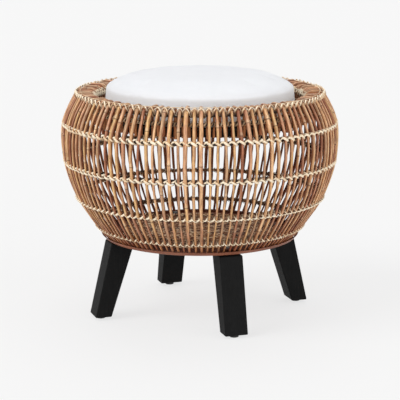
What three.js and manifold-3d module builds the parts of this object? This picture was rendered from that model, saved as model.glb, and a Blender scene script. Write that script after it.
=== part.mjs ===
// A globe-shaped cane stool: a basket of rattan canes lashed to hoops, standing on four
// splayed black legs, with a loose round cushion in the well at its top.
// Millimetres, +Z up. The origin is on the floor, under the middle of the basket.
import * as THREE from 'three';
import Module from 'manifold-3d';
import { mergeVertices } from 'three/addons/utils/BufferGeometryUtils.js';

const wasm = await Module();
wasm.setup();

// Clearance between pieces that touch on the real stool
const seatGap = 0.3;

// Outside radius at the foot of the basket, and how far each lashed row stands out from the
// one below it. The rim is set in from row two.
const footRadius = 182.5;
const swellToRowFive = 19;
const swellToRowFour = 35;
const swellToRowThree = 21.5;
const swellToRowTwo = 1;
const rimSetIn = 26;

// Rise from each of those rows to the next
const riseToRowFive = 24.5;
const riseToRowFour = 55;
const riseToRowThree = 68.5;
const riseToRowTwo = 72;
const riseToRim = 56.5;

// Canes: each round stick has five sides, and about the section area of a round one
const caneDiameter = 7;
const equalAreaShare = 1.15;
const caneSides = 5;
const panelCount = 14;
const canesPerPanel = 8;
const knotHeight = 5;

// Hoops inside the canes, and the peel lashing that shows outside them
const hoopDiameter = 8;
const squareHoopShare = 0.886;
const lashingHeight = 7;
const lashingBulge = 1.2;

// The level shoulder and the seat well inside it
const shoulderWidth = 37;
const wellDepth = 45;
const bendRadius = 9;
const wellHoopRise = 9;
const caneOverhang = 1.2;
const seatBoardThickness = 12.5;
const seatBoardEase = 1.5;

// Base: a board on the legs, a bevelled hoop round it and a flat trim strip outside
const baseBoardThickness = 8;
const baseBoardDrop = 2.7;
const baseHoopWidth = 3.5;
const trimHeight = 8.5;
const trimThickness = 2.7;
const matRadius = 107;
const matThickness = 2;

// Legs: sawn from board, tapered on their radial faces only
const legCount = 4;
const legHeight = 141.2;
const legWidth = 44;
const legTopDepth = 45;
const legFootDepth = 31;
const legSplay = 30.5;
const legTopInset = 1.5;
const legEase = 1.5;

// Glides pressed into the legs
const glideHeight = 5;
const glideRadius = 8.5;
const glideLip = 0.6;
const glidePinRadius = 3;
const glidePinLength = 8;

// Bolts down through the base board into the legs
const boltRadius = 4;
const boltHeadRadius = 7;
const boltHeadHeight = 3.4;
const boltDepthInLeg = 40;

// Cushion: a domed top panel over a side band between two seams
const cushionRoom = 18.6;
const cushionFootFlare = 4.6;
const cushionBandHeight = 50;
const cushionCrown = 30.5;
const crownFullnessShare = 0.86;
const cushionDrawIn = 2.4;
const cushionWelt = 2.5;
const bandShares = [0.25, 0.5, 0.75];

// Facets of the round pieces
const ringFacets = 32;
const cushionFacets = 44;
const pinFacets = 10;
const crownSteps = 6;

const caneRidge = (caneDiameter / 2) * equalAreaShare;
const caneFlat = caneRidge * Math.cos(Math.PI / caneSides);
const caneDepth = caneRidge + caneFlat;
const hoopSide = hoopDiameter * squareHoopShare;
const canePitch = (2 * Math.PI) / (panelCount * canesPerPanel);

const rowFiveRadius = footRadius + swellToRowFive;
const rowFourRadius = rowFiveRadius + swellToRowFour;
const rowThreeRadius = rowFourRadius + swellToRowThree;
const rowTwoRadius = rowThreeRadius + swellToRowTwo;
const rimRadius = rowTwoRadius - rimSetIn;

const legFootHeight = glideHeight + seatGap;
const legTopHeight = legFootHeight + legHeight;
const baseBoardBottom = legTopHeight + seatGap;
const baseBoardTop = baseBoardBottom + baseBoardThickness;
const footHeight = baseBoardBottom + baseBoardDrop;
const trimTop = footHeight + trimHeight;
const rowFiveHeight = footHeight + riseToRowFive;
const rowFourHeight = rowFiveHeight + riseToRowFour;
const rowThreeHeight = rowFourHeight + riseToRowThree;
const rowTwoHeight = rowThreeHeight + riseToRowTwo;
const rimHeight = rowTwoHeight + riseToRim;
const bellyHeight = (rowThreeHeight + rowTwoHeight) / 2;
const wellRadius = rimRadius - shoulderWidth;
const cushionTopRadius = wellRadius - cushionRoom;
const seatBoardTop = rimHeight - wellDepth;
const seatBoardBottom = seatBoardTop - seatBoardThickness;

const colours = {
  cane: new THREE.MeshStandardMaterial({ color: 0xa87a54, roughness: 0.62, metalness: 0 }),
  hoop: new THREE.MeshStandardMaterial({ color: 0x4a2e1f, roughness: 0.7, metalness: 0 }),
  peel: new THREE.MeshStandardMaterial({ color: 0xe0c394, roughness: 0.5, metalness: 0 }),
  trim: new THREE.MeshStandardMaterial({ color: 0x8a5a42, roughness: 0.6, metalness: 0 }),
  board: new THREE.MeshStandardMaterial({ color: 0x5a3628, roughness: 0.7, metalness: 0 }),
  mat: new THREE.MeshStandardMaterial({ color: 0x7d5c45, roughness: 0.8, metalness: 0 }),
  blackWood: new THREE.MeshStandardMaterial({ color: 0x1b1b1b, roughness: 0.55, metalness: 0 }),
  glide: new THREE.MeshStandardMaterial({ color: 0x0e0e0e, roughness: 0.5, metalness: 0 }),
  steel: new THREE.MeshStandardMaterial({ color: 0x6d6a66, roughness: 0.4, metalness: 0.9 }),
  fabric: new THREE.MeshStandardMaterial({ color: 0xf1f1f3, roughness: 0.9, metalness: 0 }),
};

const stool = new THREE.Group();

function place(name, geometry, material, azimuth = 0) {
  const mesh = new THREE.Mesh(geometry, material);
  mesh.name = name;
  mesh.rotation.z = azimuth;
  stool.add(mesh);
  return mesh;
}

// Joining and cutting of closed geometries

function solidOf(geometry) {
  const bare = geometry.clone();
  bare.deleteAttribute('normal');
  bare.deleteAttribute('uv');
  const merged = mergeVertices(bare);
  return new wasm.Manifold(
    new wasm.Mesh({
      numProp: 3,
      vertProperties: new Float32Array(merged.attributes.position.array),
      triVerts: new Uint32Array(merged.index.array),
    }),
  );
}

function geometryOf(solid) {
  const mesh = solid.getMesh();
  const geometry = new THREE.BufferGeometry();
  geometry.setAttribute('position', new THREE.BufferAttribute(mesh.vertProperties, 3));
  geometry.setIndex(new THREE.BufferAttribute(mesh.triVerts, 1));
  geometry.computeVertexNormals();
  return geometry;
}

function cutFrom(geometry, ...tools) {
  const body = tools.reduce((solid, tool) => solid.subtract(solidOf(tool)), solidOf(geometry));
  return geometryOf(body);
}

// A round piece turned about the vertical axis from [radius, height] points, lowest first
function turned(points, facets) {
  const profile = points.map(([radius, height]) => new THREE.Vector2(radius, height));
  const geometry = new THREE.LatheGeometry(profile, facets);
  geometry.rotateX(Math.PI / 2);
  return geometry;
}

// A ring turned from a closed outline, taken round it against the clock
function ring(outline) {
  return turned([...outline, outline[0]], ringFacets);
}

// Radius of the corners of a faceted ring whose flats stay outside a given radius
function cornersOutside(radius) {
  return radius / Math.cos(Math.PI / ringFacets);
}

// The wall's outside face, as a smooth curve of radius and height through the lashed rows.
// Its foot is set in by the trim strip that covers the ends of the canes.
const caneFootRadius = footRadius - trimThickness - seatGap;
const wallCurve = new THREE.SplineCurve([
  new THREE.Vector2(caneFootRadius, footHeight),
  new THREE.Vector2(rowFiveRadius, rowFiveHeight),
  new THREE.Vector2(rowFourRadius, rowFourHeight),
  new THREE.Vector2(rowThreeRadius, rowThreeHeight),
  new THREE.Vector2(rowTwoRadius, rowTwoHeight),
  new THREE.Vector2(rimRadius, rimHeight),
]);

function wallAt(height) {
  let low = 0;
  let high = 1;
  const halvings = 40;
  for (let step = 0; step < halvings; step += 1) {
    const middle = (low + high) / 2;
    if (wallCurve.getPoint(middle).y < height) low = middle;
    else high = middle;
  }
  const point = wallCurve.getPoint(low);
  const along = wallCurve.getTangent(low);
  return { radius: point.x, height: point.y, outR: along.y, outZ: -along.x };
}

// A station is the middle of a cane there, with the direction that its ridge faces. Where a
// stick is cut level or turns a corner, the direction is as long as the slanting cut.
function wallStation(height, levelCut = false) {
  const face = wallAt(height);
  const facing = levelCut ? { r: 1 / face.outR, z: 0 } : { r: face.outR, z: face.outZ };
  return {
    radius: face.radius - facing.r * caneRidge,
    height: face.height - facing.z * caneRidge,
    facing,
  };
}

// A point of a cane in front of its middle, or behind it, at one station
function aheadOf(station, distance) {
  return {
    radius: station.radius + station.facing.r * distance,
    height: station.height + station.facing.z * distance,
  };
}

// Canes side by side in one panel. Each is a five-sided stick run through the same stations,
// with one ridge out and one flat side behind. Between the stations of the tied stretch a
// knot of peel joins it to the next stick.
function canePanel(stations, panel) {
  const positions = [];
  const triangles = [];
  const quad = (a, b, c, d) => triangles.push(a, b, c, a, c, d);
  const corner = (cane, station, side) => (cane * stations.length + station) * caneSides + side;
  const [rightOut, rightBack, leftBack, leftOut] = [1, 2, 3, 4];
  const last = stations.length - 1;
  const tied = stations.findIndex((station) => station.tied);
  for (let cane = 0; cane < canesPerPanel; cane += 1) {
    const azimuth = (panel * canesPerPanel + cane + 0.5) * canePitch;
    const [cosine, sine] = [Math.cos(azimuth), Math.sin(azimuth)];
    for (const station of stations) {
      for (let side = 0; side < caneSides; side += 1) {
        const turn = (side * 2 * Math.PI) / caneSides;
        const across = caneRidge * Math.sin(turn);
        const { radius, height } = aheadOf(station, caneRidge * Math.cos(turn));
        positions.push(radius * cosine - across * sine, radius * sine + across * cosine, height);
      }
    }
    for (let side = 1; side < caneSides - 1; side += 1) {
      triangles.push(corner(cane, 0, 0), corner(cane, 0, side + 1), corner(cane, 0, side));
      triangles.push(corner(cane, last, 0), corner(cane, last, side), corner(cane, last, side + 1));
    }
    for (let station = 0; station < last; station += 1) {
      for (let side = 0; side < caneSides; side += 1) {
        const facesNext = side === rightOut && cane < canesPerPanel - 1;
        const facesPrevious = side === leftBack && cane > 0;
        if (station === tied && (facesNext || facesPrevious)) continue;
        const next = (side + 1) % caneSides;
        quad(
          corner(cane, station, side),
          corner(cane, station, next),
          corner(cane, station + 1, next),
          corner(cane, station + 1, side),
        );
      }
    }
  }
  for (let cane = 0; cane < canesPerPanel - 1; cane += 1) {
    const mine = (above, side) => corner(cane, tied + above, side);
    const theirs = (above, side) => corner(cane + 1, tied + above, side);
    quad(mine(0, rightOut), theirs(0, leftOut), theirs(1, leftOut), mine(1, rightOut));
    quad(mine(0, rightBack), mine(1, rightBack), theirs(1, leftBack), theirs(0, leftBack));
    quad(mine(0, rightBack), theirs(0, leftBack), theirs(0, leftOut), mine(0, rightOut));
    quad(mine(1, rightOut), theirs(1, leftOut), theirs(1, leftBack), mine(1, rightBack));
  }
  const geometry = new THREE.BufferGeometry();
  geometry.setAttribute('position', new THREE.Float32BufferAttribute(positions, 3));
  geometry.setIndex(triangles);
  geometry.computeVertexNormals();
  return geometry;
}

// The wall canes are nailed round the base hoop and end level under the shoulder canes
const wallCaneTop = rimHeight - caneDepth - seatGap;
const wallStations = [
  wallStation(footHeight, true),
  wallStation(rowFiveHeight),
  wallStation(rowFourHeight),
  { ...wallStation(rowThreeHeight - knotHeight / 2), tied: true },
  wallStation(rowThreeHeight + knotHeight / 2),
  wallStation(bellyHeight),
  wallStation(rowTwoHeight),
  wallStation(wallCaneTop, true),
];

// Radius of the wall canes' ridges, or of their flat backs, at a height
function caneRadiusAt(height, distance) {
  const line = wallStations.map((station) => aheadOf(station, distance));
  const above = line.findIndex((point, index) => index > 0 && point.height >= height);
  const [low, high] = above < 0 ? line.slice(-2) : line.slice(above - 1, above + 1);
  const share = (height - low.height) / (high.height - low.height);
  return low.radius + (high.radius - low.radius) * share;
}
const ridgeRadiusAt = (height) => caneRadiusAt(height, caneRidge);
const backRadiusAt = (height) => caneRadiusAt(height, -caneFlat);

// The shoulder canes lie level from the rim inwards, bend down and line the seat well. The
// peel that binds the edge of the well joins them at the bend.
const shoulderMiddle = rimHeight - caneRidge;
const wellMiddle = wellRadius + caneRidge;
const wellCaneEnd = seatBoardBottom - caneOverhang;
const miter = Math.tan(Math.PI / 8);
const bendTop = {
  radius: wellMiddle + bendRadius,
  height: shoulderMiddle,
  facing: { r: -miter, z: 1 },
  tied: true,
};
const bendBottom = {
  radius: wellMiddle,
  height: shoulderMiddle - bendRadius,
  facing: { r: -1, z: miter },
};
const shoulderStations = [
  { radius: rimRadius, height: shoulderMiddle, facing: { r: 0, z: 1 } },
  bendTop,
  bendBottom,
  { radius: wellMiddle, height: wellCaneEnd, facing: { r: -1, z: 0 } },
];

for (let panel = 0; panel < panelCount; panel += 1) {
  const number = String(panel + 1).padStart(2, '0');
  place(`wall_canes_${number}`, canePanel(wallStations, panel), colours.cane);
  place(`shoulder_canes_${number}`, canePanel(shoulderStations, panel), colours.cane);
}

// How far the flat face of a hoop would cut into the backs of the canes, which bend at a row
function cutBehind(height) {
  const face = wallAt(height);
  const cuts = [-hoopSide / 2, hoopSide / 2].map((upwards) => {
    const endRadius = face.radius - caneDepth * face.outR - upwards * face.outZ;
    const endHeight = face.height - caneDepth * face.outZ + upwards * face.outR;
    return (endRadius - backRadiusAt(endHeight)) * face.outR;
  });
  return Math.max(0, ...cuts);
}

// A hoop of cane inside the wall, flat against the backs of the canes at one row
function wallHoop(height) {
  const face = wallAt(height);
  const outside = caneDepth + cutBehind(height) + seatGap;
  const outline = [
    [outside + hoopSide, -hoopSide / 2],
    [outside, -hoopSide / 2],
    [outside, hoopSide / 2],
    [outside + hoopSide, hoopSide / 2],
  ];
  return ring(
    outline.map(([inwards, upwards]) => [
      face.radius - inwards * face.outR - upwards * face.outZ,
      face.height - inwards * face.outZ + upwards * face.outR,
    ]),
  );
}

// A lashed row outside the canes: flat against them, with a low ridge
function wallLashing(height) {
  const face = wallAt(height);
  const outline = [
    [seatGap, -lashingHeight / 2],
    [seatGap + lashingBulge, 0],
    [seatGap, lashingHeight / 2],
  ];
  return ring(
    outline.map(([outwards, upwards]) => [
      cornersOutside(face.radius + outwards * face.outR - upwards * face.outZ),
      face.height + outwards * face.outZ + upwards * face.outR,
    ]),
  );
}

const lashedRows = [
  ['row_5', rowFiveHeight],
  ['row_4', rowFourHeight],
  ['row_3', rowThreeHeight],
  ['row_2', rowTwoHeight],
];
for (const [row, height] of lashedRows) {
  place(`hoop_${row}`, wallHoop(height), colours.hoop);
  place(`lashing_${row}`, wallLashing(height), colours.peel);
}

// A level hoop of square section between two radii and two heights
function levelHoop(innerRadius, outerRadius, bottom, top) {
  return ring([[innerRadius, bottom], [outerRadius, bottom], [outerRadius, top], [innerRadius, top]]);
}

// The rim hoop lies in the corner under the shoulder canes and behind the wall canes, and
// the rim's lashing binds their ends outside
const underShoulder = rimHeight - caneDepth - seatGap;
const rimHoopOuter = backRadiusAt(underShoulder) - seatGap;
place(
  'rim_hoop',
  levelHoop(rimHoopOuter - hoopSide, rimHoopOuter, underShoulder - hoopSide, underShoulder),
  colours.hoop,
);
place('rim_lashing', wallLashing(rimHeight - lashingHeight / 2), colours.peel);

// Behind the well canes one hoop close under their bend keeps the edge of the well round, and
// a second one holds them a little above the seat board
const wellHoopInner = cornersOutside(wellRadius + caneDepth + seatGap);
const edgeHoopTop = aheadOf(bendBottom, -caneFlat).height - seatGap;
const lowerHoopTop = seatBoardTop + wellHoopRise + hoopSide / 2;
for (const [name, top] of [['well_edge_hoop', edgeHoopTop], ['well_lower_hoop', lowerHoopTop]]) {
  place(name, levelHoop(wellHoopInner, wellHoopInner + hoopSide, top - hoopSide, top), colours.hoop);
}
const wellLashingMiddle = seatBoardTop + wellHoopRise;
const lashingFace = wellRadius - seatGap;
place(
  'well_lashing',
  ring([
    [lashingFace, wellLashingMiddle - lashingHeight / 2],
    [lashingFace, wellLashingMiddle + lashingHeight / 2],
    [lashingFace - lashingBulge, wellLashingMiddle],
  ]),
  colours.peel,
);

// The edge of the well is bound too, over the canes' bend and round the hoop under it
const edgeAbove = aheadOf(bendTop, caneRidge + seatGap);
const edgeBelow = aheadOf(bendBottom, caneRidge + seatGap);
const edgeBulge = lashingBulge * Math.SQRT1_2;
place(
  'well_edge_lashing',
  ring([
    [edgeBelow.radius, edgeBelow.height],
    [edgeAbove.radius, edgeAbove.height],
    [
      (edgeBelow.radius + edgeAbove.radius) / 2 - edgeBulge,
      (edgeBelow.height + edgeAbove.height) / 2 + edgeBulge,
    ],
  ]),
  colours.peel,
);

place(
  'seat_board',
  turned(
    [
      [0, seatBoardBottom],
      [wellRadius - seatGap - seatBoardEase, seatBoardBottom],
      [wellRadius - seatGap, seatBoardBottom + seatBoardEase],
      [wellRadius - seatGap, seatBoardTop - seatBoardEase],
      [wellRadius - seatGap - seatBoardEase, seatBoardTop],
      [0, seatBoardTop],
    ],
    ringFacets,
  ),
  colours.blackWood,
);

// The base hoop has its outer face bevelled to the slope of the canes that are nailed on it,
// and the trim strip lies on the outside of the same canes
const hoopFootOuter = backRadiusAt(footHeight) - seatGap;
const hoopTopOuter = backRadiusAt(trimTop) - seatGap;
const baseHoopInner = hoopFootOuter - baseHoopWidth;
const baseBoardRadius = baseHoopInner - seatGap;
place(
  'base_hoop',
  ring([
    [baseHoopInner, footHeight],
    [hoopFootOuter, footHeight],
    [hoopTopOuter, trimTop],
    [baseHoopInner, trimTop],
  ]),
  colours.board,
);
const trimFootInner = ridgeRadiusAt(footHeight) + seatGap;
const trimTopInner = ridgeRadiusAt(trimTop) + seatGap;
place(
  'base_trim',
  ring([
    [cornersOutside(trimFootInner), footHeight],
    [cornersOutside(trimFootInner + trimThickness), footHeight],
    [cornersOutside(trimTopInner + trimThickness), trimTop],
    [cornersOutside(trimTopInner), trimTop],
  ]),
  colours.trim,
);

// Legs stand between the base board and the floor, each on its own azimuth
const legTopOuter = footRadius - legTopInset;
const legFootOuter = footRadius + legSplay;
const legFootMiddle = legFootOuter - legFootDepth / 2;
const boltDistance = baseBoardRadius - boltHeadRadius - seatGap;
const boltBottom = legTopHeight - boltDepthInLeg;

function pinHole(radius, bottom, top, distance) {
  const hole = turned([[0, bottom], [radius, bottom], [radius, top], [0, top]], pinFacets);
  hole.translate(distance, 0, 0);
  return hole;
}

function legGeometry() {
  const side = new THREE.Shape([
    new THREE.Vector2(legFootOuter - legFootDepth, legFootHeight),
    new THREE.Vector2(legFootOuter, legFootHeight),
    new THREE.Vector2(legTopOuter, legTopHeight),
    new THREE.Vector2(legTopOuter - legTopDepth, legTopHeight),
  ]);
  const blank = new THREE.ExtrudeGeometry(side, {
    depth: legWidth - 2 * legEase,
    bevelEnabled: true,
    bevelThickness: legEase,
    bevelSize: legEase,
    bevelOffset: -legEase,
    bevelSegments: 1,
  });
  blank.rotateX(Math.PI / 2);
  blank.translate(0, legWidth / 2 - legEase, 0);
  const boltHole = pinHole(
    boltRadius + seatGap,
    boltBottom - seatGap,
    legTopHeight + boltRadius,
    boltDistance,
  );
  const glideHole = pinHole(
    glidePinRadius + seatGap,
    legFootHeight - glidePinRadius,
    glideHeight + glidePinLength + seatGap,
    legFootMiddle,
  );
  return cutFrom(blank, boltHole, glideHole);
}

function glideGeometry() {
  const glide = turned(
    [
      [0, 0],
      [glideRadius - glideLip, 0],
      [glideRadius, glideHeight],
      [glidePinRadius, glideHeight],
      [glidePinRadius, glideHeight + glidePinLength],
      [0, glideHeight + glidePinLength],
    ],
    pinFacets,
  );
  glide.translate(legFootMiddle, 0, 0);
  return glide;
}

function boltGeometry() {
  const underHead = baseBoardTop + seatGap;
  const bolt = turned(
    [
      [0, boltBottom],
      [boltRadius, boltBottom],
      [boltRadius, underHead],
      [boltHeadRadius, underHead],
      [boltHeadRadius - boltHeadHeight / 2, underHead + boltHeadHeight],
      [0, underHead + boltHeadHeight],
    ],
    pinFacets,
  );
  bolt.translate(boltDistance, 0, 0);
  return bolt;
}

const legNames = ['back_right', 'back_left', 'front_left', 'front_right'];
const boltHoles = [];
for (let index = 0; index < legCount; index += 1) {
  const azimuth = ((index + 0.5) * 2 * Math.PI) / legCount;
  place(`leg_${legNames[index]}`, legGeometry(), colours.blackWood, azimuth);
  place(`glide_${legNames[index]}`, glideGeometry(), colours.glide, azimuth);
  place(`bolt_${legNames[index]}`, boltGeometry(), colours.steel, azimuth);
  const hole = pinHole(
    boltRadius + seatGap,
    baseBoardBottom - boltRadius,
    baseBoardTop + boltRadius,
    boltDistance,
  );
  hole.rotateZ(azimuth);
  boltHoles.push(hole);
}

const baseBoardBlank = turned(
  [
    [0, baseBoardBottom],
    [baseBoardRadius, baseBoardBottom],
    [baseBoardRadius, baseBoardTop],
    [0, baseBoardTop],
  ],
  ringFacets,
);
place('base_board', cutFrom(baseBoardBlank, ...boltHoles), colours.board);

const matBottom = baseBoardTop + seatGap;
const matTop = matBottom + matThickness;
place(
  'floor_mat',
  turned([[0, matBottom], [matRadius, matBottom], [matRadius, matTop], [0, matTop]], ringFacets),
  colours.mat,
);

// The cushion's side band spreads a little towards the board and is drawn in between its
// seams, and its top panel is a dome that is fuller towards the upper seam than an ellipse
function cushionGeometry() {
  const bottom = seatBoardTop + seatGap;
  const spread = cushionTopRadius + cushionFootFlare;
  const points = [
    [0, bottom],
    [spread - cushionWelt, bottom],
    [spread, bottom + cushionWelt],
  ];
  for (const share of bandShares) {
    const flare = cushionFootFlare * (1 - share) - cushionDrawIn * Math.sin(Math.PI * share);
    points.push([cushionTopRadius + flare, bottom + cushionBandHeight * share]);
  }
  for (let step = 0; step <= crownSteps; step += 1) {
    const angle = (step / crownSteps) * (Math.PI / 2);
    const radius = step === crownSteps ? 0 : cushionTopRadius * Math.cos(angle) ** crownFullnessShare;
    const rise = cushionCrown * Math.sin(angle) ** crownFullnessShare;
    points.push([radius, bottom + cushionBandHeight + rise]);
  }
  return turned(points, cushionFacets);
}
place('cushion', cushionGeometry(), colours.fabric);

export default stool;
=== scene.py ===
from math import atan2, cos, pi, radians, sin

import bmesh
import bpy
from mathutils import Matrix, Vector


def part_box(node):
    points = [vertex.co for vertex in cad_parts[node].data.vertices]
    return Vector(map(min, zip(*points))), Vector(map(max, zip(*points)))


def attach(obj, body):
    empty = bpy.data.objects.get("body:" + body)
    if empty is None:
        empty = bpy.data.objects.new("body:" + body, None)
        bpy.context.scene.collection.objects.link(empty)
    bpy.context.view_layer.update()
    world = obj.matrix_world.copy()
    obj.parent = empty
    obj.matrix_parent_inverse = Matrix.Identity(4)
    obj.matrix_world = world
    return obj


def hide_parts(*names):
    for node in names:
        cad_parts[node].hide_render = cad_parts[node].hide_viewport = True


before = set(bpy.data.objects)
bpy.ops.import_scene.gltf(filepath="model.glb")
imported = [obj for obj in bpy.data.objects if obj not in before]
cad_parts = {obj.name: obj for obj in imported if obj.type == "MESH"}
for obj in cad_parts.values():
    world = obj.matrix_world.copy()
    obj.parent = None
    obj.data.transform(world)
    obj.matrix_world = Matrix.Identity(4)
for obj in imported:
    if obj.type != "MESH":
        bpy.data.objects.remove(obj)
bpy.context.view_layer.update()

# The camera stands in front of the stool and a little to its right, higher than its rim, with
# a long lens. Its place comes from fitting the rows and the legs.
camera_turn = radians(26.7)
camera_tilt = radians(77.975)
camera_distance = 3.12704
camera_height = 0.8802
camera = bpy.data.objects.new("camera", bpy.data.cameras.new("camera"))
camera.data.sensor_width = 36
camera.data.lens = 151.22
camera.location = (sin(camera_turn) * camera_distance, -cos(camera_turn) * camera_distance, camera_height)
camera.rotation_euler = (camera_tilt, 0, camera_turn)
bpy.context.scene.collection.objects.link(camera)
bpy.context.scene.camera = camera
bpy.context.scene.view_settings.view_transform = "Standard"


# The studio is a pale floor under an even pale sky. One broad soft light stands high on the
# left in front. Weaker ones fill from the right, from behind, and low between the canes.
class Number:
    """A value that runs through a node tree, so that sums can be written as sums."""

    def __init__(self, tree, socket):
        self.tree = tree
        self.socket = socket

    def math(self, operation, *others):
        node = self.tree.nodes.new("ShaderNodeMath")
        node.operation = operation
        for number, value in enumerate((self, *others)):
            fill(self.tree, node.inputs[number], value)
        return Number(self.tree, node.outputs[0])

    def __add__(self, other):
        return self.math("ADD", other)

    def __sub__(self, other):
        return self.math("SUBTRACT", other)

    def __mul__(self, other):
        return self.math("MULTIPLY", other)

    def __truediv__(self, other):
        return self.math("DIVIDE", other)


def fill(tree, socket, value):
    if isinstance(value, Number):
        value = value.socket
    if isinstance(value, bpy.types.NodeSocket):
        tree.links.new(value, socket)
    else:
        socket.default_value = value


def put(tree, kind, inputs=None, **settings):
    """Adds a node, with its settings and with its inputs set or linked by name or number."""
    node = tree.nodes.new(kind)
    for name, value in settings.items():
        setattr(node, name, value)
    for name, value in (inputs or {}).items():
        fill(tree, node.inputs[name], value)
    return node


def out(tree, kind, inputs=None, **settings):
    """Adds a node in the same way, and gives its first output."""
    return put(tree, kind, inputs, **settings).outputs[0]


def lamp(name, turn, height, power, spread):
    """A soft distant light, from a turn round the stool and a height above the floor."""
    light = bpy.data.lights.new(name, "SUN")
    light.energy = power
    light.angle = radians(spread)
    holder = bpy.data.objects.new(name, light)
    holder.rotation_euler = (radians(90 - height), 0, radians(turn))
    bpy.context.scene.collection.objects.link(holder)


lamp("key_light", turn=-38, height=38, power=1.45, spread=40)
lamp("fill_light", turn=82, height=20, power=0.85, spread=60)
lamp("front_light", turn=27, height=8, power=0.65, spread=50)
lamp("top_light", turn=200, height=66, power=0.7, spread=50)

background_grey = 0.92
floor_grey = 0.9
sky_level = 0.47
shadow_share = 0.22
floor_reach = 14


def seen_directly(tree):
    """1 for what the eye sees, in mirror or glass too, and 0 for light that falls on things."""
    rays = put(tree, "ShaderNodeLightPath")
    seen = Number(tree, rays.outputs["Is Camera Ray"]) + rays.outputs["Is Glossy Ray"]
    return (seen + rays.outputs["Is Transmission Ray"]).math("MINIMUM", 1.0)


world = bpy.data.worlds.new("studio")
world.use_nodes = True
bpy.context.scene.world = world
sky = world.node_tree
sky.nodes.clear()
grey = (background_grey, background_grey, background_grey, 1)
glow = out(sky, "ShaderNodeBackground", {"Color": (1, 1, 1, 1), "Strength": sky_level})
pale = out(sky, "ShaderNodeBackground", {"Color": grey, "Strength": 1.0})
both = out(sky, "ShaderNodeMixShader", {0: seen_directly(sky), 1: glow, 2: pale})
put(sky, "ShaderNodeOutputWorld", {"Surface": both})


def mesh_piece(name, points, faces, material):
    """A piece made from points and faces, with its place in its mesh."""
    mesh = bpy.data.meshes.new(name)
    mesh.from_pydata(points, [], faces)
    mesh.materials.append(material)
    piece = bpy.data.objects.new(name, mesh)
    bpy.context.scene.collection.objects.link(piece)
    return piece


floor_finish = bpy.data.materials.new("studio_floor")
floor_finish.use_nodes = True
paint = floor_finish.node_tree
paint.nodes.clear()
matt = out(paint, "ShaderNodeBsdfDiffuse", {"Color": (floor_grey, floor_grey, floor_grey, 1)})
even = out(paint, "ShaderNodeEmission", {"Color": grey, "Strength": 1.0})
glowing = seen_directly(paint) * (1 - shadow_share)
blend = out(paint, "ShaderNodeMixShader", {0: glowing, 1: matt, 2: even})
put(paint, "ShaderNodeOutputMaterial", {"Surface": blend})
corners = [(-1, -1), (1, -1), (1, 1), (-1, 1)]
floor_points = [(x * floor_reach, y * floor_reach, 0) for x, y in corners]
floor = mesh_piece("studio_floor", floor_points, [(0, 1, 2, 3)], floor_finish)

# The wall is 112 upright rattan canes, whole sticks with their skin on. They are bent over
# the hoops, nailed round the base, and lashed at the rim and at four rows below it.
full_turn = 2 * pi
cane_count = 112
cane_thickness = 0.0061
wall_cane_extra = 0.0008
wall_cane_top = 0.4225
cane_set_in = 0.0038
widest_radius = 0.259
wall_rows = [
    (0.1795, 0.1495),
    (0.2015, 0.174),
    (0.2365, 0.229),
    (0.258, 0.2975),
    (widest_radius, 0.3695),
    (0.233, 0.426),
]


def smooth_line(rows, steps=24):
    """Points of a smooth curve of radius and height through the rows."""
    line = []
    last = len(rows) - 1
    for row in range(last):
        a, b, c, d = (Vector(rows[min(max(row + step, 0), last)]) for step in (-1, 0, 1, 2))
        for step in range(steps):
            t = step / steps
            bend = (2 * a - 5 * b + 4 * c - d) * t**2 + (3 * b - a - 3 * c + d) * t**3
            line.append((2 * b + (c - a) * t + bend) / 2)
    line.append(Vector(rows[-1]))
    return line


wall_line = smooth_line(wall_rows)


def wall_at(height):
    """The wall's outside face at a height, and the direction that it faces there."""
    higher = (n for n, point in enumerate(wall_line) if n and point.y >= height)
    above = next(higher, len(wall_line) - 1)
    low, high = wall_line[above - 1], wall_line[above]
    along = high - low
    point = low + along * ((height - low.y) / along.y)
    return point, Vector((along.y, -along.x)).normalized()


def wall_middle(height, depth=cane_set_in):
    """The place at a depth behind the wall's outside face, by default the canes' middle."""
    point, facing = wall_at(height)
    return point - facing * depth


def guide(name, line):
    """A piece that is only a line of radius and height, for a tree to work along."""
    mesh = bpy.data.meshes.new(name)
    mesh.from_pydata([(r, 0, z) for r, z in line], [(n, n + 1) for n in range(len(line) - 1)], [])
    piece = bpy.data.objects.new(name, mesh)
    bpy.context.scene.collection.objects.link(piece)
    return piece


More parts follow.
